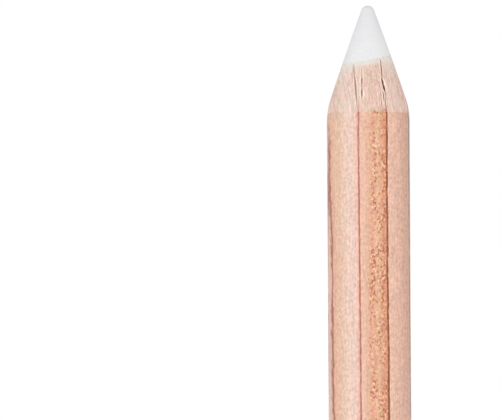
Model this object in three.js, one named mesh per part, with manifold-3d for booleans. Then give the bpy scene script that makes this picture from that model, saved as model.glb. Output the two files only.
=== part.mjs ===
// A round wood-cased chalk marking pencil, standing on its white lacquered end with the point up.
//
// Millimetres, +Z up. The origin is the centre of the flat end face and +Z runs to the point.
// The casing is two glued slats with a groove in each for the core. The glue line is parallel to
// the XZ plane, so slat_front faces -Y. The barrel was turned a little off the middle of the glued
// slats, which leaves the core and the glue line off the axis. Everything above the shoulder is
// one sharpened cone that cuts through the varnish, the slats, the glue and the core alike.

import * as THREE from 'three';
import { mergeVertices } from 'three/addons/utils/BufferGeometryUtils.js';
import Module from 'manifold-3d';

const wasm = await Module();
wasm.setup();

// Driving dimensions
const LENGTH = 175;
const BARREL_DIAMETER = 7.4;
const CORE_DIAMETER = 4.3;
const CORE_X = -0.13; // how far the core lies off the barrel's axis
const CORE_Y = -0.05; // and the glue line with it
const POINT_HALF_ANGLE = THREE.MathUtils.degToRad(19.4);
const NOSE_RADIUS = 0.5;
const VARNISH_THICKNESS = 0.05;
const BOND_THICKNESS = 0.06;
const GLUE_LINE = 0.1;
const DIP_LENGTH = 7.3;
const DIP_THICKNESS = 0.07;
const DIP_END_WALL = 0.6;
const DIP_RIM_RADIUS = 0.7;
const CLEARANCE = 0.01; // between touching pieces

// Faceting
const SIDES = 48;
const NOSE_STEPS = 5;
const RIM_STEPS = 6;

// Worked out from the dimensions above
const BARREL_RADIUS = BARREL_DIAMETER / 2;
const WOOD_RADIUS = BARREL_RADIUS - VARNISH_THICKNESS - CLEARANCE;
const CORE_RADIUS = CORE_DIAMETER / 2;
const BOND_INNER_RADIUS = CORE_RADIUS + CLEARANCE;
const BOND_OUTER_RADIUS = BOND_INNER_RADIUS + BOND_THICKNESS;
const GROOVE_RADIUS = BOND_OUTER_RADIUS + CLEARANCE;
const DIP_INNER_RADIUS = BARREL_RADIUS + CLEARANCE;
const DIP_OUTER_RADIUS = DIP_INNER_RADIUS + DIP_THICKNESS;
const WOOD_START = DIP_END_WALL + CLEARANCE;
const NOSE_CENTRE = LENGTH - NOSE_RADIUS;
const APEX = NOSE_CENTRE + NOSE_RADIUS / Math.sin(POINT_HALF_ANGLE);
const SPAN = 2 * LENGTH; // longer than anything it cuts

// Turns an outline of [radius, height] points into a closed solid about Z.
function turned(outline) {
  const points = outline.map(([radius, height]) => new THREE.Vector2(radius, height));
  return new THREE.LatheGeometry(points, SIDES).rotateX(Math.PI / 2);
}

function solid(geometry) {
  const bare = geometry.clone();
  bare.deleteAttribute('normal');
  bare.deleteAttribute('uv');
  const merged = mergeVertices(bare, 1e-5);
  return new wasm.Manifold(new wasm.Mesh({
    numProp: 3,
    vertProperties: new Float32Array(merged.attributes.position.array),
    triVerts: new Uint32Array(merged.index.array),
  }));
}

function geometryOf(manifold) {
  const mesh = manifold.getMesh();
  const geometry = new THREE.BufferGeometry();
  geometry.setAttribute('position', new THREE.BufferAttribute(mesh.vertProperties, 3));
  geometry.setIndex(new THREE.BufferAttribute(mesh.triVerts, 1));
  return geometry;
}

// The sharpened stick that a barrel of this radius makes: end face, barrel, cone and round nose.
function sharpenedStick(radius) {
  const shoulder = APEX - radius / Math.tan(POINT_HALF_ANGLE);
  const outline = [[0, WOOD_START], [radius, WOOD_START], [radius, shoulder]];
  for (let step = 0; step <= NOSE_STEPS; step += 1) {
    const angle = THREE.MathUtils.lerp(POINT_HALF_ANGLE, Math.PI / 2, step / NOSE_STEPS);
    const nose = step === NOSE_STEPS ? 0 : NOSE_RADIUS * Math.cos(angle);
    outline.push([nose, NOSE_CENTRE + NOSE_RADIUS * Math.sin(angle)]);
  }
  return solid(turned(outline));
}

// A long cylinder, about the barrel's axis or about the core's.
function rod(radius, centreX = 0, centreY = 0) {
  const outline = [[0, -SPAN / 2], [radius, -SPAN / 2], [radius, SPAN / 2], [0, SPAN / 2]];
  return solid(turned(outline).translate(centreX, centreY, 0));
}

function coreRod(radius) {
  return rod(radius, CORE_X, CORE_Y);
}

// A box between two values of X and two of Y that is longer than the pencil.
function block(lowX, highX, lowY, highY) {
  const geometry = new THREE.BoxGeometry(highX - lowX, highY - lowY, SPAN);
  return solid(geometry.translate((lowX + highX) / 2, (lowY + highY) / 2, 0));
}

const woodStick = sharpenedStick(WOOD_RADIUS);
const casing = woodStick.subtract(coreRod(GROOVE_RADIUS));

// Half of the casing. side is -1 for the front slat and 1 for the back one.
function slat(side) {
  const face = CORE_Y + side * (GLUE_LINE / 2 + CLEARANCE);
  const far = side * BARREL_DIAMETER;
  return casing.intersect(block(-SPAN, SPAN, Math.min(face, far), Math.max(face, far)));
}

// The glue between the two slats. side is -1 for the seam at -X and 1 for the one at +X.
function glueLine(side) {
  const far = side * BARREL_DIAMETER;
  const lowY = CORE_Y - GLUE_LINE / 2;
  const highY = CORE_Y + GLUE_LINE / 2;
  return casing.intersect(block(Math.min(CORE_X, far), Math.max(CORE_X, far), lowY, highY));
}

function core() {
  return woodStick.intersect(coreRod(CORE_RADIUS));
}

// The tube of adhesive that holds the core in its grooves.
function coreBond() {
  const tube = coreRod(BOND_OUTER_RADIUS).subtract(coreRod(BOND_INNER_RADIUS));
  return woodStick.intersect(tube);
}

// The clear coat over the whole barrel, which the sharpener cuts off at the shoulder.
function varnishCoat() {
  return sharpenedStick(BARREL_RADIUS).subtract(rod(WOOD_RADIUS + CLEARANCE));
}

// The white lacquer cup on the blunt end.
function endDip() {
  const outline = [[0, 0]];
  for (let step = 0; step <= RIM_STEPS; step += 1) {
    const angle = (Math.PI / 2) * (step / RIM_STEPS);
    outline.push([
      DIP_OUTER_RADIUS - DIP_RIM_RADIUS * (1 - Math.sin(angle)),
      DIP_RIM_RADIUS * (1 - Math.cos(angle)),
    ]);
  }
  outline.push([DIP_OUTER_RADIUS, DIP_LENGTH - DIP_THICKNESS]);
  outline.push([DIP_INNER_RADIUS, DIP_LENGTH]);
  outline.push([DIP_INNER_RADIUS, DIP_END_WALL]);
  outline.push([0, DIP_END_WALL]);
  return solid(turned(outline));
}

const pencil = new THREE.Group();

function add(name, manifold, color, roughness) {
  const material = new THREE.MeshStandardMaterial({ color, roughness, metalness: 0 });
  const mesh = new THREE.Mesh(geometryOf(manifold), material);
  mesh.name = name;
  pencil.add(mesh);
}

const WOOD_COLOUR = 0xe6bca4;
const GLUE_COLOUR = 0xcaa58c;
const CHALK_COLOUR = 0xeeedec;
const VARNISH_COLOUR = 0xeccbb4;
const LACQUER_COLOUR = 0xf0f0ef;

add('slat_front', slat(-1), WOOD_COLOUR, 0.6);
add('slat_back', slat(1), WOOD_COLOUR, 0.6);
add('glue_left', glueLine(-1), GLUE_COLOUR, 0.5);
add('glue_right', glueLine(1), GLUE_COLOUR, 0.5);
add('core', core(), CHALK_COLOUR, 0.95);
add('core_bond', coreBond(), GLUE_COLOUR, 0.7);
add('varnish', varnishCoat(), VARNISH_COLOUR, 0.3);
add('end_dip', endDip(), LACQUER_COLOUR, 0.35);

export default pencil;
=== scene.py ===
"""Looks of the fabric marking pencil: a round wood-cased white chalk pencil, standing on its white end.

Lengths are in millimetres in this script and metres in Blender. +Z runs up the pencil to its point,
and -Y is its front. Wood is a solid pattern: growth rings are nearly flat sheets that run up the
pencil, and the same sheets show on the varnished barrel and on the raw cone.
"""

import collections
import itertools
import math

import bmesh
import bpy
import numpy as np
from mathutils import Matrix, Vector


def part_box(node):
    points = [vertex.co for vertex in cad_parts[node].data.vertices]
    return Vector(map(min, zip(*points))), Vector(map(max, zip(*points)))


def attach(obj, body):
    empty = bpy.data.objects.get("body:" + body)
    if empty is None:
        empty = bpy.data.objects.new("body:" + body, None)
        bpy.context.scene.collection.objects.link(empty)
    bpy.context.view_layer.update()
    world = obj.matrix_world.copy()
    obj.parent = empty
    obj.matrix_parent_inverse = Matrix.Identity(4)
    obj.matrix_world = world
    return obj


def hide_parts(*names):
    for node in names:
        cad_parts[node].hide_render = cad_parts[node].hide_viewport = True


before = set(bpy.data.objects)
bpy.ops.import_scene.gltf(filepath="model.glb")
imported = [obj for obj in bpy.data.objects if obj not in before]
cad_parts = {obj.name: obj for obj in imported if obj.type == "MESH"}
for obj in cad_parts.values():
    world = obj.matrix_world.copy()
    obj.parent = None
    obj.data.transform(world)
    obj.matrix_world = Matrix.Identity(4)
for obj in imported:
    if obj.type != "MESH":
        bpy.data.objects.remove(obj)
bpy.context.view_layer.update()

MM = 0.001
BODY = "root"


def cad_box(node):
    """Lowest and highest corners of a CAD node, in mm."""
    low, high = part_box(node)
    return np.array(low) / MM, np.array(high) / MM


# Sizes of the CAD model
_, varnish_high = cad_box("varnish")
core_low, core_high = cad_box("core")
bond_low, bond_high = cad_box("core_bond")
_, front_high = cad_box("slat_front")
back_low, back_high = cad_box("slat_back")
_, dip_high = cad_box("end_dip")
glue_low, glue_high = cad_box("glue_right")

LENGTH = core_high[2]
BARREL_RADIUS = varnish_high[0]
WOOD_RADIUS = back_high[1]
WOOD_START = core_low[2]
CORE_X, CORE_Y = (core_low[:2] + core_high[:2]) / 2
CORE_RADIUS = (core_high[0] - core_low[0]) / 2
BOND_RADIUS = (bond_high[0] - bond_low[0]) / 2
GROOVE_RADIUS = glue_low[0] - CORE_X
CLEARANCE = GROOVE_RADIUS - BOND_RADIUS
JOINT_Y = (front_high[1] + back_low[1]) / 2
DIP_RADIUS = dip_high[0]
DIP_LENGTH = dip_high[2]

# The sharpened point. The first two sizes are the CAD model's, whose cone is straight. Here the cone is
# bowed out a little, the nose is worn and the shoulder is round.
POINT_HALF_ANGLE = math.radians(19.4)
CAD_NOSE_RADIUS = 0.5
CONE_BOW = 0.07  # how far the middle of the cone is bowed out
NOSE_WEAR = 0.12  # how much of the soft nose is worn away
SHOULDER_BLEND = 0.35  # how far the corner between the cone and the barrel is rounded
CAD_SLOPE = math.tan(POINT_HALF_ANGLE)
APEX = LENGTH + CAD_NOSE_RADIUS * (math.sqrt(1 + 1 / CAD_SLOPE**2) - 1)
CONE_LENGTH = BARREL_RADIUS / CAD_SLOPE
SHOULDER = APEX - CONE_LENGTH
BULGE = 4 * CONE_BOW  # BULGE * t * (1 - t) is CONE_BOW in the middle, where t is 0.5
TIP_SLOPE = (BARREL_RADIUS + BULGE) / CONE_LENGTH
TIP_HEIGHT = LENGTH - NOSE_WEAR
NOSE_RADIUS = (APEX - TIP_HEIGHT) / (math.sqrt(1 + 1 / TIP_SLOPE**2) - 1)
NOSE_CENTRE = TIP_HEIGHT - NOSE_RADIUS

# The white dip: the round rim of its end face, and the fat wavy lip where it stops
DIP_RIM = 0.7
LIP_HEIGHT = 0.1
LIP_DOME = 0.08
SWELL = 0.018  # how far the side stands out just below the lip
SWELL_PLACE = 0.35
SWELL_REACH = 0.3
LIP_WAVE = 0.07
LIP_WAVE_DEPTH = 2  # how far down the side the waves of the lip reach
DIP_UNEVENNESS = 0.006

# The varnish, whose cut edge at the shoulder is thin and ragged
VARNISH_EDGE = 0.004
EDGE_WAVE = 0.035
EDGE_CHIPS = 0.02
EDGE_DROP = 0.02  # how far the inside of the edge lies below the outside
EDGE_FADE = 0.4  # the barrel's relief fades out over this height below the edge

# How finely the pieces are divided
PLAIN_HEIGHTS = (150.0, 100.0, 50.0, WOOD_START)  # rows of points on the hidden straight sides
CORE_SIDES = 256
CORE_RINGS = 81
SLAT_COLUMNS = 360
CONE_ROWS = 72
GLUE_ROWS = 60
VARNISH_SIDES = 320
DIP_SIDES = 192

# Growth rings of the casing, in mm across them. Depths are measured down from the shoulder.
RING_LEAN = 0.29  # how far a ring moves along X for each mm along Y
BACK_RING_PLACE = 1.2  # the ring on the axis in the back slat
BACK_RING_ACROSS = -0.93  # and how fast the rings there follow each other along X
BACK_RING_ALONG = 0.42  # and along Y
RING_DRIFT = 0.06  # how far the rings move across on the way down
OUTER_DRIFT = 0.18  # and how far the outermost ones on the left do
OUTER_RINGS = (-3.7, -2.5)  # between these rings the drift falls from the one to the other
DRIFT_DEPTH = 18
FAR_DRIFT = 0.9  # how far all rings swing across on the lower barrel
FAR_DRIFT_DEPTH = 35
FAR_DRIFT_REACH = 90
LATE_BAND = -0.8  # the middle of a band of late wood that broadens lower down
LATE_BAND_REACH = 0.45
LATE_BAND_GROWTH = 0.26
LATE_BAND_DEPTH = 6
LATE_BAND_BLEND = 8
RING_LINES = (-3.89, -1.90, 0.66, 3.30, 4.55)
RING_RANGE = 4.2  # the ring pattern is coloured from minus to plus this

# Drying cracks in the raw cone. Each has its place across the wood, its lean, the height of its middle,
# its half length, its width and its strength.
CRACKS = (
    (0.53, 0.29, 169.2, 1.10, 0.07, 0.6),
    (-0.88, 0.85, 167.75, 0.65, 0.13, 1.0),
    (-0.88, 0.85, 167.48, 0.34, 0.15, 1.0),
    (-1.73, 1.06, 167.5, 0.90, 0.05, 0.45),
    (-1.12, 0.85, 167.6, 0.80, 0.06, 0.35),
    (0.10, 0.42, 166.75, 0.45, 0.07, 0.65),
    (-0.15, 0.42, 166.90, 0.20, 0.06, 0.5),
    (0.20, 0.42, 166.10, 0.30, 0.06, 0.45),
    (-0.19, 0.42, 166.10, 0.30, 0.07, 0.5),
    (-0.64, 0.03, 167.8, 1.70, 0.07, 0.42),
    (-0.64, 0.03, 168.07, 0.30, 0.08, 0.58),
    (-0.64, 0.03, 166.96, 0.42, 0.09, 0.60),
    (-1.61, 0.18, 167.3, 1.60, 0.07, 0.44),
    (-1.90, 0.31, 169.2, 0.65, 0.10, 0.35),
    (2.05, 0.30, 166.8, 0.90, 0.05, 0.35),
    (-2.50, 0.30, 167.0, 0.80, 0.05, 0.35),
)
# The pale lip beside each crack is a painted highlight on its torn edges
CRACK_HIGHLIGHT_PLACE = 1.9  # in crack widths from the middle of the crack
CRACK_HIGHLIGHT_REACH = 0.6

# Depths of the relief
RING_GROOVE_DEPTH = 0.010
RING_GROOVE_WIDTH = 0.09
CRACK_DEPTH = 0.07

# Smooth random field
LATTICE_SIZE = 32
LATTICE = np.random.default_rng(7).uniform(-1, 1, (LATTICE_SIZE,) * 3)


def noise(points, size):
    """A smooth random value in -1..1 at each point, with features about size mm along X, Y and Z."""
    place = points / np.asarray(size, float)
    cell = np.floor(place).astype(int)
    part = place - cell
    part = part * part * (3 - 2 * part)
    total = np.zeros(points.shape[:-1])
    for corner in itertools.product((0, 1), repeat=3):
        weight = np.prod(np.where(corner, part, 1 - part), axis=-1)
        x, y, z = np.moveaxis((cell + corner) % LATTICE_SIZE, -1, 0)
        total += weight * LATTICE[x, y, z]
    return total


def bell(place, reach):
    """1 at place 0, falling smoothly to nearly 0 at twice the reach."""
    return np.exp(-((place / reach) ** 2))


def ring_place(points):
    """How far across the growth rings each point lies. The back slat is cut from another board."""
    x, y, z = np.moveaxis(points, -1, 0)
    front = x + RING_LEAN * y
    back = BACK_RING_PLACE + BACK_RING_ACROSS * x + BACK_RING_ALONG * y
    sheets = np.where(y < JOINT_Y, front, back)
    depth = SHOULDER - z
    drift = np.interp(sheets, OUTER_RINGS, (OUTER_DRIFT, RING_DRIFT)) * np.tanh(depth / DRIFT_DEPTH)
    drift += FAR_DRIFT * np.clip((depth - FAR_DRIFT_DEPTH) / FAR_DRIFT_REACH, 0, 1) ** 1.5
    broader = LATE_BAND_GROWTH * np.clip((depth - LATE_BAND_DEPTH) / LATE_BAND_BLEND, 0, 1)
    broader *= bell(sheets - LATE_BAND, LATE_BAND_REACH)
    wander = 0.05 * noise(points, (6, 6, 9)) + 0.02 * noise(points, (1.5, 1.5, 2.5))
    return sheets - drift + broader + wander


def near_cracks(points):
    """How many crack widths each point is from each drying crack, and how strong the crack is there."""
    x, y, z = np.moveaxis(points, -1, 0)
    wander = 0.03 * noise(points, (0.8, 0.8, 1.3)) + 0.015 * noise(points, (0.3, 0.3, 0.4))
    front_only = np.clip(-y, 0, 1)
    for place, lean, middle, half, width, strength in CRACKS:
        taper = np.clip(1 - ((z - middle) / half) ** 2, 1e-6, 1)
        across = (x + lean * y + wander - place) / (width * np.sqrt(taper))
        yield np.abs(across), strength * front_only * np.minimum(1, 4 * taper)


def cracks(points):
    """0..1: how much each point lies inside a drying crack."""
    return np.max([strength * bell(away, 1) for away, strength in near_cracks(points)], axis=0)


def crack_highlights(points):
    """0..1: how much each point lies on the pale lip beside a crack, where a highlight is painted."""
    near = near_cracks(points)
    lip_highlights = [strength * bell(away - CRACK_HIGHLIGHT_PLACE, CRACK_HIGHLIGHT_REACH) for away, strength in near]
    return np.max(lip_highlights, axis=0)


def ring_grooves(points):
    """The depth of the grooves along the dark lines between rings."""
    ring = ring_place(points)
    return RING_GROOVE_DEPTH * sum(bell(ring - line, RING_GROOVE_WIDTH) for line in RING_LINES)


# Surfaces
def polar(radius, angle, height):
    """Points at a distance from the pencil's axis, an angle about it from +X, and a height."""
    radius, angle, height = np.broadcast_arrays(radius, angle, height)
    return np.stack([radius * np.cos(angle), radius * np.sin(angle), height], axis=-1)


def pushed(points, distance):
    """Points moved away from the pencil's axis."""
    radius = np.maximum(np.hypot(points[..., 0], points[..., 1]), 1e-6)
    scale = 1 + distance / radius
    return points * np.stack([scale, scale, np.ones_like(scale)], axis=-1)


def sharpened_radius(height):
    """Radius of the outside at a height above the nose: the barrel, its rounded shoulder and the cone."""
    along = np.minimum((APEX - height) / CONE_LENGTH, 2)
    cone = BARREL_RADIUS * along + BULGE * along * (1 - along)
    overlap = np.clip(1 - np.abs(cone - BARREL_RADIUS) / SHOULDER_BLEND, 0, None)
    return np.minimum(cone, BARREL_RADIUS) - SHOULDER_BLEND / 4 * overlap**2


def point_height(radius):
    """Height of the round nose or the bowed cone at a distance from the axis."""
    nose = NOSE_CENTRE + np.sqrt(np.maximum(NOSE_RADIUS**2 - radius**2, 0))
    tangent = NOSE_RADIUS / math.sqrt(1 + TIP_SLOPE**2)
    across = BARREL_RADIUS + BULGE
    along = (across - np.sqrt(across**2 - 4 * BULGE * radius)) / (2 * BULGE)
    return np.where(radius < tangent, nose, APEX - along * CONE_LENGTH)


def core_circle(radius, angle):
    """Distance from the barrel's axis to a circle about the core's axis, at an angle about the barrel's."""
    along = CORE_X * np.cos(angle) + CORE_Y * np.sin(angle)
    across = CORE_X * np.sin(angle) - CORE_Y * np.cos(angle)
    return along + np.sqrt(radius**2 - across**2)


def varnish_edge_height():
    """Height at which the rounded shoulder cuts through the varnish into the wood."""
    search = 2
    heights = np.linspace(SHOULDER - search, SHOULDER + search, 401)
    return np.interp(-(WOOD_RADIUS + CLEARANCE), -sharpened_radius(heights), heights)


EDGE_HEIGHT = varnish_edge_height()


def barrel_relief(points):
    """How far the varnished surface stands out of a true cylinder: rings, fibres and slow waves."""
    fibres = 0.003 * noise(points, (0.4, 0.4, 7))
    waves = 0.006 * noise(points, (5, 5, 16))
    return fibres + waves - ring_grooves(points)


def cone_relief(points):
    """How far raw wood stands out of the true cone: rings, torn fibres, tool marks and cracks."""
    fibres = 0.009 * noise(points, (0.13, 0.13, 1.4))
    tool_marks = 0.0025 * np.sin(points[..., 2] * 17 + 3 * noise(points, (1, 1, 1)))
    return fibres + tool_marks - ring_grooves(points) - CRACK_DEPTH * cracks(points)


def chalk_relief(points):
    """How far pressed chalk stands out of the true point: grains, scratches and an uneven nose."""
    grains = 0.005 * noise(points, (0.1, 0.1, 0.1)) + 0.004 * noise(points, (0.28, 0.28, 0.28))
    scratches = 0.004 * noise(points, (1.6, 1.6, 0.07))
    on_nose = np.clip((points[..., 2] - NOSE_CENTRE) / NOSE_RADIUS, 0, 1)
    wear = 0.02 * noise(points, (0.35, 0.35, 0.35)) * on_nose
    return grains + scratches + wear


# Meshes
SHARP_ANGLE = 40  # degrees; edges that turn more than this are shaded as corners


def quads(count, size, wraps, loops):
    """Corner numbers of the faces between neighbouring sections of size points."""
    sections = np.arange(count if wraps else count - 1)
    section, point = np.meshgrid(sections, np.arange(size if loops else size - 1), indexing="ij")
    beyond, above = (section + 1) % count, (point + 1) % size
    corners = [section * size + point, beyond * size + point, beyond * size + above, section * size + above]
    return np.stack(corners, axis=-1).reshape(-1, 4)


def build(name, solids, material, replaced=()):
    """One piece made of closed solids. Each solid is (sections, wraps, loops): sections is an array of rows
    of points, wraps joins the last row to the first, and loops joins each row's ends. Without wraps the
    first and last rows are end caps."""
    points, faces, first = [], [], 0
    for sections, wraps, loops in solids:
        count, size = sections.shape[:2]
        points.append(sections.reshape(-1, 3))
        faces += (quads(count, size, wraps, loops) + first).tolist()
        if not wraps:
            faces.append(list(range(first, first + size)))
            faces.append(list(range(first + (count - 1) * size, first + count * size)))
        first += count * size
    mesh = bpy.data.meshes.new(name)
    mesh.from_pydata(np.concatenate(points) * MM, [], faces)
    shape = bmesh.new()
    shape.from_mesh(mesh)
    bmesh.ops.remove_doubles(shape, verts=shape.verts, dist=1e-8)
    bmesh.ops.recalc_face_normals(shape, faces=shape.faces)
    shape.to_mesh(mesh)
    shape.free()
    mesh.polygons.foreach_set("use_smooth", [True] * len(mesh.polygons))
    mesh.set_sharp_from_angle(angle=math.radians(SHARP_ANGLE))
    mesh.materials.append(material)
    piece = bpy.data.objects.new(name, mesh)
    bpy.context.scene.collection.objects.link(piece)
    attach(piece, BODY)
    if replaced:
        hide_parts(*replaced)
    return piece


def store_wood(piece):
    """Keeps each vertex's place across the growth rings, how cracked it is and how much painted highlight
    lies on the lip beside a crack, for the wood materials.
    """
    mesh = piece.data
    places = np.empty(len(mesh.vertices) * 3)
    mesh.vertices.foreach_get("co", places)
    points = places.reshape(-1, 3) / MM
    for name, measure in (("ring", ring_place), ("crack", cracks), ("lip", crack_highlights)):
        attribute = mesh.attributes.new(name, "FLOAT", "POINT")
        attribute.data.foreach_set("value", measure(points))


# Materials
MIX_FACTOR, MIX_FIRST, MIX_SECOND, MIX_RESULT = 0, 6, 7, 2  # a colour mix's sockets


class Graph:
    """A material's node tree. Each method adds a node and returns the socket that later nodes use."""

    def __init__(self, name):
        self.material = bpy.data.materials.new(name)
        self.material.use_nodes = True
        self.tree = self.material.node_tree
        self.tree.nodes.clear()
        coordinates = self.tree.nodes.new("ShaderNodeTexCoord").outputs["Object"]
        self.place = self.vector("SCALE", coordinates, scale=1 / MM)

    def node(self, kind, inputs, output=0, **settings):
        """Adds a node. inputs gives its inputs, by name or number, their values or the sockets to link."""
        made = self.tree.nodes.new(kind)
        for setting, value in settings.items():
            setattr(made, setting, value)
        for key, value in inputs.items():
            if isinstance(value, bpy.types.NodeSocket):
                self.tree.links.new(value, made.inputs[key])
            else:
                made.inputs[key].default_value = value
        return made.outputs[output]

    def vector(self, operation, first, second=None, scale=None):
        inputs = {0: first}
        if second is not None:
            inputs[1] = second
        if scale is not None:
            inputs["Scale"] = scale
        output = 1 if operation == "LENGTH" else 0
        return self.node("ShaderNodeVectorMath", inputs, output, operation=operation)

    def math(self, operation, first, second=0.0, third=0.0):
        return self.node("ShaderNodeMath", {0: first, 1: second, 2: third}, operation=operation)

    def axis(self, letter):
        """A place along X, Y or Z, in mm."""
        return self.node("ShaderNodeSeparateXYZ", {0: self.place}, letter)

    def attribute(self, name):
        """A value stored at the mesh's vertices."""
        return self.node("ShaderNodeAttribute", {}, "Fac", attribute_name=name)

    def shifted_noise(self, place, detail, shift):
        """Random value around 0.5 with features about 1 across in place."""
        place = self.vector("ADD", place, (shift,) * 3)
        inputs = {"Vector": place, "Scale": 1.0, "Detail": detail}
        return self.node("ShaderNodeTexNoise", inputs, "Fac")

    def noise(self, size, detail=2.0, shift=0.0):
        """Random value around 0.5 with features about size mm along X, Y and Z."""
        return self.shifted_noise(self.vector("DIVIDE", self.place, size), detail, shift)

    def grain(self, ring, across, along, up, shift=0.0):
        """Random value around 0.5 in long streaks that lie in the growth rings' sheets, sizes in mm."""
        z = self.math("DIVIDE", self.axis("Z"), up)
        place = {0: self.math("DIVIDE", ring, across), 1: self.math("DIVIDE", self.axis("Y"), along), 2: z}
        return self.shifted_noise(self.node("ShaderNodeCombineXYZ", place), 3.0, shift)

    def range(self, value, low, high, to_low=0.0, to_high=1.0, smooth=True):
        """Value carried from low..high to to_low..to_high, and held at the ends."""
        inputs = {"Value": value, "From Min": low, "From Max": high, "To Min": to_low, "To Max": to_high}
        kind = "SMOOTHSTEP" if smooth else "LINEAR"
        return self.node("ShaderNodeMapRange", inputs, "Result", interpolation_type=kind)

    def ramp(self, value, stops):
        """Colour at a value between given stops of (place 0..1, colour)."""
        made = self.tree.nodes.new("ShaderNodeValToRGB")
        self.tree.links.new(value, made.inputs[0])
        elements = made.color_ramp.elements
        while len(elements) < len(stops):
            elements.new(1.0)
        for element, (place, colour) in zip(elements, stops):
            element.position = place
            element.color = (*colour, 1.0)
        return made.outputs["Color"]

    def mix(self, factor, first, second, blend="MIX"):
        """The first colour turned into the second, or blended with it, by a factor."""
        inputs = {MIX_FACTOR: factor}
        for socket, colour in ((MIX_FIRST, first), (MIX_SECOND, second)):
            inputs[socket] = colour if isinstance(colour, bpy.types.NodeSocket) else (*colour, 1.0)
        return self.node("ShaderNodeMix", inputs, MIX_RESULT, data_type="RGBA", blend_type=blend)

    def brightened(self, colour, value):
        return self.node("ShaderNodeHueSaturation", {"Color": colour, "Value": value})

    def bump(self, height, distance):
        """A normal for relief that is distance mm high."""
        inputs = {"Height": height, "Distance": distance * MM, "Strength": 1.0}
        return self.node("ShaderNodeBump", inputs)

    def surface(self, **inputs):
        """The finished material, with these inputs to its shader."""
        shader = self.node("ShaderNodeBsdfPrincipled", inputs)
        output = self.tree.nodes.new("ShaderNodeOutputMaterial")
        self.tree.links.new(shader, output.inputs["Surface"])
        return self.material


def linear(red, green, blue):
    """A linear colour from 0..255 sRGB values."""
    def one(value):
        value = value / 255
        return value / 12.92 if value <= 0.04045 else ((value + 0.055) / 1.055) ** 2.4
    return one(red), one(green), one(blue)


# Colours of the wood across its rings, from pale early wood to the dark line that ends each ring. On the
# front these places run from left to right, so the tones also hold painted light and shade: lighter left of
# the middle and darker towards the right side.
WOOD_TONES_WITH_SHADE = (
    (-4.15, linear(228, 190, 170)),
    (-3.92, linear(222, 180, 160)),
    (-3.78, linear(230, 178, 152)),
    (-3.66, linear(234, 188, 164)),
    (-3.40, linear(229, 193, 168)),
    (-2.85, linear(238, 206, 191)),
    (-2.50, linear(235, 204, 194)),
    (-2.20, linear(238, 200, 184)),
    (-1.98, linear(236, 184, 168)),
    (-1.76, linear(234, 191, 171)),
    (-1.14, linear(226, 179, 153)),
    (-0.62, linear(226, 166, 138)),
    (-0.25, linear(229, 180, 150)),
    (0.20, linear(221, 160, 128)),
    (0.62, linear(224, 150, 112)),
    (0.78, linear(241, 196, 174)),
    (1.05, linear(232, 189, 169)),
    (1.90, linear(229, 184, 164)),
    (2.40, linear(219, 173, 152)),
    (3.22, linear(206, 157, 137)),
    (3.46, linear(238, 198, 178)),
    (3.90, linear(236, 194, 172)),
    (4.15, linear(228, 176, 150)),
)
# Place, half width, colour and strength of the dark lines that end the rings
LINE_TONES = (
    (RING_LINES[0], 0.042, linear(160, 82, 54), 0.95),
    (RING_LINES[1], 0.070, linear(166, 94, 80), 0.95),
    (RING_LINES[2], 0.095, linear(134, 68, 40), 1.0),
    # This ring's line lies just inside the right edge of the front: partly the ring's own dark line, and
    # partly painted shade along that edge.
    (RING_LINES[3], 0.080, linear(98, 70, 60), 1.0),
    (RING_LINES[4], 0.060, linear(186, 122, 96), 0.7),
)
# How much dark late wood there is across the rings
LATE_WOOD = (
    (-2.30, 0.0),
    (-1.94, 0.3),
    (-1.80, 0.1),
    (-1.25, 0.15),
    (-0.85, 0.6),
    (-0.50, 1.0),
    (-0.30, 0.7),
    (0.60, 0.9),
    (0.76, 0.0),
    (1.90, 0.1),
    (3.24, 0.4),
    (3.40, 0.0),
    (3.88, 0.0),
    (4.18, 0.5),
)
# Other colours of the wood, and painted light and shade on it
PORE_COLOUR = linear(176, 98, 64)
# Painted highlight: pale glints of light in the late wood
PAINTED_GLINT_COLOUR = linear(246, 212, 184)
SEAM_COLOUR = linear(176, 128, 100)
RAW_COLOUR = linear(238, 215, 205)
RAW_LINE_COLOUR = linear(176, 124, 104)
HAIR_COLOUR = linear(186, 136, 116)
DUST_COLOUR = linear(230, 221, 209)
SMEAR_COLOUR = linear(232, 229, 224)
# Painted highlight on the pale lip beside each crack
CRACK_HIGHLIGHT_COLOUR = linear(254, 234, 217)
# Painted shade inside each crack
CRACK_SHADE_COLOUR = linear(100, 50, 40)
# Heights between which the lower barrel's pink and yellow bands fade out
BANDS_FADE = (140, 115)

# What the two wood materials share: the colour, the place across the rings, and masks of the grain
Wood = collections.namedtuple("Wood", "colour ring lines pores late fibres")


def ring_stops(stops):
    """Stops given in mm across the rings, as a colour ramp's places 0..1."""
    return [((place + RING_RANGE) / (2 * RING_RANGE), colour) for place, colour in stops]


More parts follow.
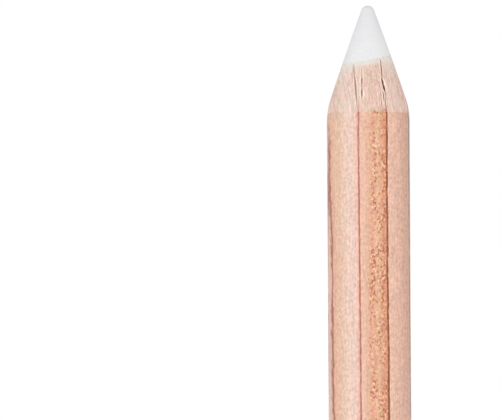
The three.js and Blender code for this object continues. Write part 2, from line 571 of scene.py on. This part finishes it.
def wood_colours(graph):
    """The casing's colour, with painted shade towards the right of the front and painted glints in the late
    wood, and the masks of its grain, before any finish.
    """
    jitter = graph.noise((0.5, 0.5, 0.9), shift=3.1)
    ring = graph.math("MULTIPLY_ADD", graph.math("SUBTRACT", jitter, 0.5), 0.16, graph.attribute("ring"))
    place = graph.range(ring, -RING_RANGE, RING_RANGE, smooth=False)
    colour = graph.ramp(place, ring_stops(WOOD_TONES_WITH_SHADE))
    late = graph.ramp(place, ring_stops([(stop, (amount,) * 3) for stop, amount in LATE_WOOD]))
    clusters = graph.noise((0.8, 0.8, 2.0), detail=2, shift=6.3)
    late = graph.math("MULTIPLY", late, graph.range(clusters, 0.36, 0.60, 0.62, 1.12))

    streaks = graph.noise((0.3, 0.3, 6), detail=3)
    colour = graph.mix(graph.range(streaks, 0.35, 0.65), colour, (0.97, 1.0, 0.97), "MULTIPLY")
    blush = graph.noise((0.40, 0.40, 0.8), detail=3, shift=9.4)
    colour = graph.mix(graph.range(blush, 0.35, 0.65), colour, (1.02, 0.955, 0.935), "MULTIPLY")
    fibres = graph.noise((0.14, 0.14, 1.6), detail=2, shift=5.7)
    mottle = graph.noise((0.24, 0.24, 0.30), detail=2, shift=1.3)
    by_fibres = graph.range(fibres, 0.2, 0.8, 0.82, 1.03, smooth=False)
    by_mottle = graph.range(mottle, 0.2, 0.8, -0.22, 0.22, smooth=False)
    colour = graph.brightened(colour, graph.math("ADD", by_fibres, by_mottle))

    flush = graph.range(graph.noise((1.1, 1.1, 45), detail=1, shift=4.8), 0.40, 0.60)
    bands = graph.mix(flush, (0.99, 0.99, 0.89), (1.02, 0.93, 0.95))
    banded = graph.mix(1.0, colour, bands, "MULTIPLY")
    colour = graph.mix(graph.range(graph.axis("Z"), *BANDS_FADE), colour, banded)
    warmth = graph.range(graph.noise((0.5, 0.5, 0.8), detail=2, shift=11.2), 0.40, 0.60)
    tints = graph.mix(warmth, (0.99, 0.91, 0.97), (1.0, 1.03, 0.86))
    colour = graph.mix(late, colour, graph.mix(1.0, colour, tints, "MULTIPLY"))

    grains = graph.noise((0.17, 0.17, 0.24), detail=2, shift=2.9)
    threshold = graph.range(late, 0.0, 1.0, 0.76, 0.47, smooth=False)
    over = graph.math("SUBTRACT", grains, threshold)
    pores = graph.math("MULTIPLY", graph.range(over, 0.0, 0.12), 0.9)
    colour = graph.mix(pores, colour, PORE_COLOUR)
    # Painted highlights: pale glints of light scattered through the late wood
    painted_glints = graph.math("MULTIPLY", graph.range(grains, 0.44, 0.34), late)
    colour = graph.mix(graph.math("MULTIPLY", painted_glints, 0.8), colour, PAINTED_GLINT_COLOUR)

    beads = graph.range(graph.noise((0.3, 0.3, 0.6), detail=2, shift=7.7), 0.3, 0.55, 0.6, 1.0)
    lines = 0.0
    for middle, half_width, line_colour, strength in LINE_TONES:
        away = graph.math("ABSOLUTE", graph.math("SUBTRACT", ring, middle))
        line = graph.range(away, 1.5 * half_width, 0.5 * half_width, 0.0, strength)
        line = graph.math("MULTIPLY", line, beads)
        colour = graph.mix(line, colour, line_colour)
        lines = graph.math("MAXIMUM", line, lines)
    return Wood(colour, ring, lines, pores, late, fibres)


def wood_height(graph, lines, pores, fibres):
    """Relief of the grain: fibres stand up, and dark lines and pores are hollow."""
    hollow = graph.math("MAXIMUM", lines, pores)
    return graph.math("SUBTRACT", graph.math("MULTIPLY", fibres, 0.6), graph.math("MULTIPLY", hollow, 0.5))


def varnished_wood():
    """The barrel: wood under a thin clear satin coat, with the glue line at each side."""
    graph = Graph("varnished_wood")
    wood = wood_colours(graph)
    off_joint = graph.math("ABSOLUTE", graph.math("SUBTRACT", graph.axis("Y"), JOINT_Y))
    seam = graph.range(off_joint, 0.09, 0.03, 0.0, 0.75)
    height = graph.math("SUBTRACT", wood_height(graph, wood.lines, wood.pores, wood.fibres), seam)
    smears = graph.noise((1.5, 1.5, 5), shift=2.2)
    return graph.surface(**{
        "Base Color": graph.mix(seam, wood.colour, SEAM_COLOUR),
        "Roughness": graph.range(smears, 0.3, 0.7, 0.42, 0.52),
        "IOR": 1.45,
        "Coat Weight": 0.3,
        "Coat Roughness": 0.22,
        "Normal": graph.bump(height, 0.012),
    })


def raw_wood():
    """The cone: sharpened bare wood, paler and duller, with torn fibres and chalk dust near the core."""
    graph = Graph("raw_wood")
    wood = wood_colours(graph)
    by_shoulder = graph.range(graph.axis("Z"), EDGE_HEIGHT + 0.5, EDGE_HEIGHT, 0.0, 0.60)
    paleness = graph.math("SUBTRACT", 0.66, graph.math("MULTIPLY", wood.late, by_shoulder))
    colour = graph.mix(paleness, wood.colour, RAW_COLOUR)
    fuzz = graph.grain(wood.ring, 0.13, 1.1, 1.5, shift=8.2)
    colour = graph.brightened(colour, graph.range(fuzz, 0.25, 0.75, 0.76, 1.17, smooth=False))
    stain = graph.range(graph.noise((0.7, 0.7, 1.1), detail=2, shift=6.1), 0.38, 0.62)
    colour = graph.mix(1.0, colour, graph.mix(stain, (0.94, 0.99, 0.92), (1.03, 0.97, 0.99)), "MULTIPLY")
    colour = graph.mix(graph.math("MULTIPLY", wood.lines, 0.5), colour, RAW_LINE_COLOUR)
    hairs = graph.range(graph.noise((0.10, 0.10, 1.6), detail=1, shift=4.4), 0.60, 0.70)
    colour = graph.mix(graph.math("MULTIPLY", hairs, 0.40), colour, HAIR_COLOUR)

    sideways = graph.math("ABSOLUTE", graph.axis("X"))
    dust_edge = graph.range(sideways, 1.0, 2.0, GROOVE_RADIUS + 0.28, GROOVE_RADIUS + 0.60)
    near_core = graph.range(from_core_axis(graph), dust_edge, GROOVE_RADIUS - 0.06)
    patches = graph.range(graph.noise((0.12, 0.12, 0.5), detail=2, shift=6.6), 0.25, 0.7, 0.5, 1.1)
    colour = graph.mix(graph.math("MULTIPLY", near_core, patches), colour, DUST_COLOUR)
    smear = graph.range(from_core_axis(graph), GROOVE_RADIUS + 0.09, GROOVE_RADIUS - 0.03, 0.0, 0.7)
    colour = graph.mix(graph.math("MULTIPLY", smear, patches), colour, SMEAR_COLOUR)

    # Painted highlight on the torn edges beside each crack
    torn = graph.range(fuzz, 0.36, 0.52, 0.35, 1.0)
    lip_highlights = graph.math("MULTIPLY", graph.range(graph.attribute("lip"), 0.05, 0.45), torn)
    colour = graph.mix(lip_highlights, colour, CRACK_HIGHLIGHT_COLOUR)
    # Painted shade: the inside of each crack is painted dark
    inside = graph.range(graph.attribute("crack"), 0.12, 0.75, 0.0, 0.97)
    colour = graph.mix(inside, colour, CRACK_SHADE_COLOUR)
    return graph.surface(**{
        "Base Color": colour,
        "Roughness": 0.85,
        "IOR": 1.4,
        "Normal": graph.bump(wood_height(graph, wood.lines, hairs, fuzz), 0.03),
    })


def from_core_axis(graph):
    """Distance from the core's axis, in mm."""
    away = graph.vector("SUBTRACT", graph.place, (CORE_X, CORE_Y, 0))
    return graph.vector("LENGTH", graph.vector("MULTIPLY", away, (1, 1, 0)))


def chalk():
    """Pressed white chalk with fine grains and the sharpener's scratches round the point. The nose is a
    little greyer, and the edge takes some colour from the wood."""
    graph = Graph("white_chalk")
    grains = graph.noise((0.09, 0.09, 0.09), detail=3)
    scratches = graph.noise((1.4, 1.4, 0.05), detail=2, shift=2.5)
    smudges = graph.noise((0.8, 0.8, 0.9), detail=2, shift=8.5)
    by_grains = graph.range(grains, 0.3, 0.7, 0.97, 1.01, smooth=False)
    by_scratches = graph.range(scratches, 0.3, 0.7, -0.015, 0.015, smooth=False)
    clean = graph.mix(graph.range(smudges, 0.4, 0.7), linear(231, 231, 232), linear(228, 228, 230))
    colour = graph.mix(graph.range(graph.axis("Z"), 171, 174), clean, linear(225, 225, 227))
    uneven = graph.math("MULTIPLY", graph.noise((0.25, 0.25, 0.6), shift=1.7), 0.12)
    edge = graph.math("ADD", graph.math("SUBTRACT", from_core_axis(graph), CORE_RADIUS + 0.02), uneven)
    colour = graph.mix(graph.range(edge, -0.06, 0.06, 0.0, 0.5), colour, linear(232, 230, 225))
    height = graph.math("ADD", grains, graph.math("MULTIPLY", scratches, 0.6))
    return graph.surface(**{
        "Base Color": graph.brightened(colour, graph.math("ADD", by_grains, by_scratches)),
        "Roughness": 0.95,
        "Specular IOR Level": 0.25,
        "Normal": graph.bump(height, 0.012),
    })


def adhesive(name, colour, roughness):
    """Hardened glue with small bubbles and uneven colour."""
    graph = Graph(name)
    cloud = graph.noise((0.12, 0.12, 0.4), detail=3)
    tint = graph.mix(graph.range(cloud, 0.3, 0.7), colour, tuple(0.8 * part for part in colour))
    return graph.surface(**{
        "Base Color": tint,
        "Roughness": roughness,
        "Normal": graph.bump(cloud, 0.01),
    })


def lacquer():
    """White dipped lacquer: smooth and glossy with the faint unevenness of a dried coat."""
    graph = Graph("white_lacquer")
    waves = graph.noise((1.1, 1.1, 1.6), detail=1)
    specks = graph.noise((0.12, 0.12, 0.12), detail=1, shift=3.3)
    clouds = graph.noise((3, 3, 3), shift=1.9)
    colour = graph.mix(graph.range(clouds, 0.3, 0.7), linear(240, 240, 240), linear(236, 236, 235))
    height = graph.math("ADD", waves, graph.math("MULTIPLY", specks, 0.12))
    return graph.surface(**{
        "Base Color": colour,
        "Roughness": graph.range(specks, 0.3, 0.7, 0.28, 0.36),
        "Coat Weight": 0.4,
        "Coat Roughness": 0.12,
        "Normal": graph.bump(height, 0.02),
    })


def ink():
    """Thin dark brown-grey printing ink that lets a little of the grain through."""
    graph = Graph("print_ink")
    grain = graph.noise((0.08, 0.08, 0.9), detail=3)
    specks = graph.noise((0.1, 0.1, 0.1), detail=2, shift=4.1)
    thin = graph.math("MULTIPLY", graph.range(grain, 0.5, 0.72), 0.45)
    colour = graph.mix(thin, linear(66, 52, 47), linear(150, 116, 98))
    return graph.surface(**{
        "Base Color": graph.brightened(colour, graph.range(specks, 0.3, 0.7, 0.9, 1.1)),
        "Roughness": 0.5,
        "Specular IOR Level": 0.25,
        "Normal": graph.bump(specks, 0.006),
    })


# Pieces
def full_turn(count):
    """A column of angles all round a circle."""
    return np.linspace(-math.pi, math.pi, count, endpoint=False)[:, None]


def make_core():
    """The chalk core: round nose, its part of the cone, and the rod down to the blunt end."""
    angles = full_turn(CORE_SIDES)
    edge = core_circle(CORE_RADIUS, angles)
    radii = edge * np.linspace(0, 1, CORE_RINGS) ** 0.8  # a little closer together towards the edge
    tip = polar(radii, angles, point_height(radii))
    tip = pushed(tip, chalk_relief(tip) * np.minimum(radii / NOSE_RADIUS, 1))
    side = polar(edge, angles, np.array([PLAIN_HEIGHTS]))
    end = polar(0 * angles, angles, WOOD_START)
    sections = np.concatenate([tip, side, end], axis=1)
    build("chalk_core", [(sections, True, False)], chalk(), ["core"])


def make_bond():
    """The thin tube of adhesive round the core, cut to a ring on the cone."""
    angles = full_turn(CORE_SIDES)
    inner = core_circle(CORE_RADIUS + CLEARANCE, angles)
    outer = core_circle(BOND_RADIUS, angles)
    radii = inner + (outer - inner) * np.linspace(0, 1, 4)
    ring = polar(radii, angles, point_height(radii))
    ring = pushed(ring, cone_relief(ring))
    foot = polar(np.concatenate([outer, inner], axis=1), angles, WOOD_START)
    sections = np.concatenate([ring, foot], axis=1)
    material = adhesive("core_adhesive", linear(233, 229, 221), 0.8)
    build("core_adhesive", [(sections, True, True)], material, ["core_bond"])


def slat_points(rows, side, joint):
    """Rows of points round half the casing. Each row gives its radius and height at an angle, and stops at
    the flat joint face on each side."""
    spread = np.linspace(0, 1, SLAT_COLUMNS)
    placed = []
    for radius_at, height_at in rows:
        angle = side * math.pi * spread
        for _ in range(4):  # where it stops depends on the radius there, so it is found in steps
            radius = radius_at(angle)
            start = np.arcsin(joint / radius)
            angle = start + (side * math.pi - 2 * start) * spread
        placed.append(polar(radius_at(angle), angle, height_at(angle)))
    return np.stack(placed, axis=1)


def make_slat(name, side, joint, material, replaced):
    """Half of the casing: its share of the raw cone, the wood under the varnish, and the groove."""
    def groove(angle):
        return core_circle(GROOVE_RADIUS, angle)

    def cone_height(part):
        return lambda angle: (1 - part) * point_height(groove(angle)) + part * EDGE_HEIGHT

    def cone_radius(part):
        return lambda angle: np.minimum(sharpened_radius(cone_height(part)(angle)), WOOD_RADIUS)

    def level(radius, height):
        return lambda angle: radius + 0 * angle, lambda angle: height + 0 * angle

    parts = np.linspace(0, 1, CONE_ROWS)
    cone = [(cone_radius(part), cone_height(part)) for part in parts]
    rest = [level(WOOD_RADIUS, height) for height in PLAIN_HEIGHTS]
    rest.append((groove, lambda angle: WOOD_START + 0 * angle))
    sections = slat_points(cone + rest, side, joint)
    raw = sections[:, :CONE_ROWS]
    edge_share = 1 / 12  # the relief fades out towards the groove and the varnish
    fade = np.clip(parts / edge_share, 0, 1) * np.clip((1 - parts) / edge_share, 0, 1)
    sections[:, :CONE_ROWS] = pushed(raw, cone_relief(raw) * fade)
    store_wood(build(name, [(sections, False, True)], material, [replaced]))


def make_glue_line(name, side, material, replaced):
    """The glue between the slats at one side, cut flush with the cone and flat inside the varnish."""
    faces = []
    for y in (glue_low[1], glue_high[1]):
        inner = CORE_X + side * math.sqrt(GROOVE_RADIUS**2 - (y - CORE_Y) ** 2)
        top = float(point_height(np.hypot(inner, y)))
        heights = np.append(np.linspace(top, EDGE_HEIGHT, GLUE_ROWS), PLAIN_HEIGHTS)
        outside = np.minimum(sharpened_radius(heights), WOOD_RADIUS)
        surface = np.stack([side * np.sqrt(outside**2 - y**2), np.full_like(heights, y), heights], axis=-1)
        foot = [[inner, y, WOOD_START]]
        faces.append(np.concatenate([surface, foot]))
    build(name, [(np.stack(faces), False, True)], material, [replaced])


def make_varnish():
    """The clear-coated surface of the barrel, from under the dip to its ragged edge at the shoulder."""
    angles = full_turn(VARNISH_SIDES)
    inner = WOOD_RADIUS + CLEARANCE
    rim = polar(1.0, angles, 0 * angles)
    top = EDGE_HEIGHT + EDGE_WAVE * noise(rim, (0.35, 0.35, 1)) + EDGE_CHIPS * noise(rim, (0.05, 0.05, 1))
    near, middle, far = 3, 40, EDGE_HEIGHT - 1  # the rows lie closer together near the point
    depths = np.concatenate([np.arange(0, near, 0.1), np.arange(near, middle, 0.3), np.arange(middle, far)])
    heights = np.where(depths > near, EDGE_HEIGHT - depths, top - depths)
    foot = np.full_like(angles, WOOD_START)
    heights = np.concatenate([heights, foot], axis=1)
    outside = polar(np.maximum(sharpened_radius(heights), inner + VARNISH_EDGE), angles, heights)
    fade = np.clip((EDGE_HEIGHT - heights) / EDGE_FADE, 0, 1)
    outside = pushed(outside, barrel_relief(outside) * fade)
    inside = polar(inner, angles, np.concatenate([foot, top - EDGE_DROP], axis=1))
    solid = (np.concatenate([outside, inside], axis=1), True, True)
    store_wood(build("varnished_barrel", [solid], varnished_wood(), ["varnish"]))


def make_dip():
    """The white lacquer cup: flat end, round rim, a straight side and a fat wavy lip where it ends."""
    angles = full_turn(DIP_SIDES)
    inner = BARREL_RADIUS + CLEARANCE
    middle = (inner + DIP_RADIUS) / 2
    lip_start = DIP_LENGTH - LIP_HEIGHT
    floor = WOOD_START - CLEARANCE
    quarter = np.linspace(0, math.pi / 2, 17)
    rim_radii = DIP_RADIUS - DIP_RIM * (1 - np.sin(quarter))
    rim_heights = DIP_RIM * (1 - np.cos(quarter))
    end_radii = np.linspace(0, rim_radii[0], 12)[:-1]
    side_heights = np.linspace(DIP_RIM, lip_start, 40)[1:]
    side_radii = DIP_RADIUS + SWELL * bell(side_heights - DIP_LENGTH + SWELL_PLACE, SWELL_REACH)
    lip = np.linspace(0, math.pi, 9)[1:-1]
    lip_radii = middle + (DIP_RADIUS - middle) * np.cos(lip)
    lip_heights = lip_start + LIP_DOME * np.sin(lip)
    radii = np.concatenate([end_radii, rim_radii, side_radii, lip_radii, [inner, inner, 0]])
    heights = np.concatenate(
        [0 * end_radii, rim_heights, side_heights, lip_heights, [lip_start, floor, floor]]
    )
    sections = polar(radii, angles, heights)
    wave = LIP_WAVE * noise(polar(1.0, angles, 0 * angles), (0.7, 0.7, 1))
    near_lip = np.clip((heights - DIP_LENGTH + LIP_WAVE_DEPTH) / LIP_WAVE_DEPTH, 0, 1) ** 2
    sections[..., 2] += wave * near_lip
    on_side = np.clip(heights / DIP_RIM - 1, 0, 1) * (radii > middle)
    sections = pushed(sections, DIP_UNEVENNESS * noise(sections, (2.2, 2.2, 3)) * on_side)
    build("lacquer_dip", [(sections, True, False)], lacquer(), ["end_dip"])


# Printed marks. Their middle is PRINT_ANGLE round the barrel, to the right of its front.
PRINT_THICKNESS = 0.008
PRINT_ANGLE = math.radians(26)
PRINT_RAGGEDNESS = 0.012
BAR_COUNT = 30
BAR_MODULE = 0.352  # bars are 1, 2 or 3 modules wide, and the gaps between them 1 or 2
BAR_SHARE = 0.92  # how much of its modules a bar fills
GAP_SHARE = 0.78  # and how much a gap does
BAR_START = 44.8
BAR_REACH = math.radians(29)
TICK_STEP = 1.6
TICK_WIDTH = 0.42
SHORT_TICK_PLACE = 0.72
SHORT_TICK_WIDTH = 0.36
DOT_RADIUS = 0.42
DOT_HEIGHTS = (13.7, 16.2, 18.7)


def printed(base):
    """A thin film of ink that lies on the barrel's relief: its top, and its underside in the wood."""
    relief = barrel_relief(base)
    top = pushed(base, relief + PRINT_THICKNESS)
    under = pushed(base, relief - PRINT_THICKNESS / 2)[:, ::-1]
    return np.concatenate([top, under], axis=1)


def ink_bar(centre, reach, low, high):
    """A printed bar that runs round the barrel, reach to each side of centre, between two heights."""
    angles = np.linspace(centre - reach, centre + reach, 24)[:, None] - math.pi / 2
    heights = np.tile(np.linspace(low, high, 5), (len(angles), 1))
    edges = polar(5.0, angles, np.array([[low, high]]))
    heights[:, [0, -1]] += PRINT_RAGGEDNESS * noise(edges, (0.15, 0.15, 0.05))
    return printed(polar(BARREL_RADIUS, angles, heights)), False, True


def ink_dot(centre, height, radius):
    """A round printed dot on the barrel."""
    turn = full_turn(28)
    reach = radius * (1 + 0.05 * noise(polar(1.0, turn, height + 0 * turn), (0.4, 0.4, 1)))
    steps = reach * np.linspace(0, 1, 5)
    angles = centre - math.pi / 2 + steps * np.cos(turn) / BARREL_RADIUS
    return printed(polar(BARREL_RADIUS, angles, height + steps * np.sin(turn))), True, False


def make_bars(material):
    """A generic block of bars whose widths repeat over and over."""
    solids = []
    height = BAR_START
    for index in range(BAR_COUNT):
        width = BAR_MODULE * (1 + index * 5 % 3) * BAR_SHARE
        solids.append(ink_bar(PRINT_ANGLE, BAR_REACH, height, height + width))
        height += width + BAR_MODULE * (1 + index * 7 % 2) * GAP_SHARE
    build("print_bars", solids, material)


def tick_pair(height, reach):
    """One printed tick: a long and a short stroke side by side, like no letter or digit."""
    short = height + SHORT_TICK_PLACE
    long_stroke = ink_bar(PRINT_ANGLE, reach, height, height + TICK_WIDTH)
    short_stroke = ink_bar(PRINT_ANGLE - reach / 2, reach / 2, short, short + SHORT_TICK_WIDTH)
    return [long_stroke, short_stroke]


def make_ticks(name, material, start, groups, group_step, ticks, reach):
    """A row of plain ticks in even groups. They reach so many degrees to each side of PRINT_ANGLE."""
    solids = []
    for group in range(groups):
        for tick in range(ticks):
            height = start + group * group_step + tick * TICK_STEP
            solids += tick_pair(height, math.radians(reach))
    build(name, solids, material)


def make_dots(material):
    """Three dots below the ticks."""
    dots = [ink_dot(PRINT_ANGLE, height, DOT_RADIUS) for height in DOT_HEIGHTS]
    build("print_dots", dots, material)


# Studio. Its places and sizes are in metres, and the camera's lens and sensor in mm.
FLOOR_RADIUS = 30.0
FLOOR_GLOW = 0.42  # keeps the floor as white as the surround
SURROUND_LIGHT = 0.70
SURROUND_SEEN = 1.0
CAMERA_LENS = 250.0
CAMERA_SENSOR = 36.0
CAMERA_PLACE = (0.0, -0.3105, 0.15668)
CAMERA_ROLL = math.radians(0.32)
CAMERA_PAN = math.radians(1.96)


def make_floor():
    """A large plain pale disc that the pencil stands on."""
    graph = Graph("pale_floor")
    grain = graph.noise((40, 40, 40), detail=1)
    tone = graph.mix(graph.range(grain, 0.3, 0.7), (0.86, 0.86, 0.86), (0.84, 0.84, 0.84))
    material = graph.surface(**{
        "Base Color": tone,
        "Roughness": 0.9,
        "Specular IOR Level": 0.1,
        "Emission Color": (1.0, 1.0, 1.0, 1.0),
        "Emission Strength": FLOOR_GLOW,
    })
    mesh = bpy.data.meshes.new("floor")
    shape = bmesh.new()
    bmesh.ops.create_circle(shape, cap_ends=True, segments=96, radius=FLOOR_RADIUS)
    shape.to_mesh(mesh)
    shape.free()
    mesh.materials.append(material)
    floor = bpy.data.objects.new("floor", mesh)
    bpy.context.scene.collection.objects.link(floor)


def make_area_light(name, place, target, size, power):
    """A round soft light that faces target."""
    light = bpy.data.lights.new(name, "AREA")
    light.shape = "DISK"
    light.size = size
    light.energy = power
    lamp = bpy.data.objects.new(name, light)
    bpy.context.scene.collection.objects.link(lamp)
    lamp.location = place
    lamp.rotation_euler = (target - place).to_track_quat("-Z", "Y").to_euler()


def make_world():
    """White studio surround: even light, and full white where the camera sees it."""
    world = bpy.data.worlds.new("studio")
    world.use_nodes = True
    tree = world.node_tree
    tree.nodes.clear()
    seen = tree.nodes.new("ShaderNodeLightPath").outputs["Is Camera Ray"]
    strength = tree.nodes.new("ShaderNodeMapRange")
    tree.links.new(seen, strength.inputs["Value"])
    strength.inputs["To Min"].default_value = SURROUND_LIGHT
    strength.inputs["To Max"].default_value = SURROUND_SEEN
    background = tree.nodes.new("ShaderNodeBackground")
    background.inputs["Color"].default_value = (1.0, 1.0, 1.0, 1.0)
    tree.links.new(strength.outputs["Result"], background.inputs["Strength"])
    output = tree.nodes.new("ShaderNodeOutputWorld")
    tree.links.new(background.outputs[0], output.inputs["Surface"])
    bpy.context.scene.world = world


def make_lights():
    """A soft key light from the front and a weaker one from behind."""
    middle = Vector((0, 0, 0.12))
    make_area_light("key", Vector((-0.2, -1.3, 0.75)), middle, 0.7, 5.0)
    make_area_light("back", Vector((0.1, 1.4, 0.8)), middle, 0.7, 3.0)


def make_camera():
    """A level long lens close to the point, panned so that the pencil stands at the picture's right."""
    data = bpy.data.cameras.new("camera")
    data.sensor_width = CAMERA_SENSOR
    data.lens = CAMERA_LENS
    data.clip_start = 0.01
    data.clip_end = 100.0
    camera = bpy.data.objects.new("camera", data)
    bpy.context.scene.collection.objects.link(camera)
    camera.location = CAMERA_PLACE
    camera.rotation_euler = (math.radians(90), CAMERA_ROLL, CAMERA_PAN)
    bpy.context.scene.camera = camera


bpy.context.scene.view_settings.view_transform = "Standard"
raw = raw_wood()
make_core()
make_bond()
make_slat("front_slat_wood", -1, front_high[1], raw, "slat_front")
make_slat("back_slat_wood", 1, back_low[1], raw, "slat_back")
make_varnish()
make_dip()
glue = adhesive("glue_line", linear(196, 150, 122), 0.6)
make_glue_line("left_glue_line", -1, glue, "glue_left")
make_glue_line("right_glue_line", 1, glue, "glue_right")
print_ink = ink()
make_bars(print_ink)
make_ticks("print_ticks_upper", print_ink, start=85.8, groups=3, group_step=9.4, ticks=5, reach=23)
make_ticks("print_ticks_lower", print_ink, start=21.4, groups=2, group_step=8.6, ticks=4, reach=27)
make_dots(print_ink)
make_floor()
make_world()
make_lights()
make_camera()
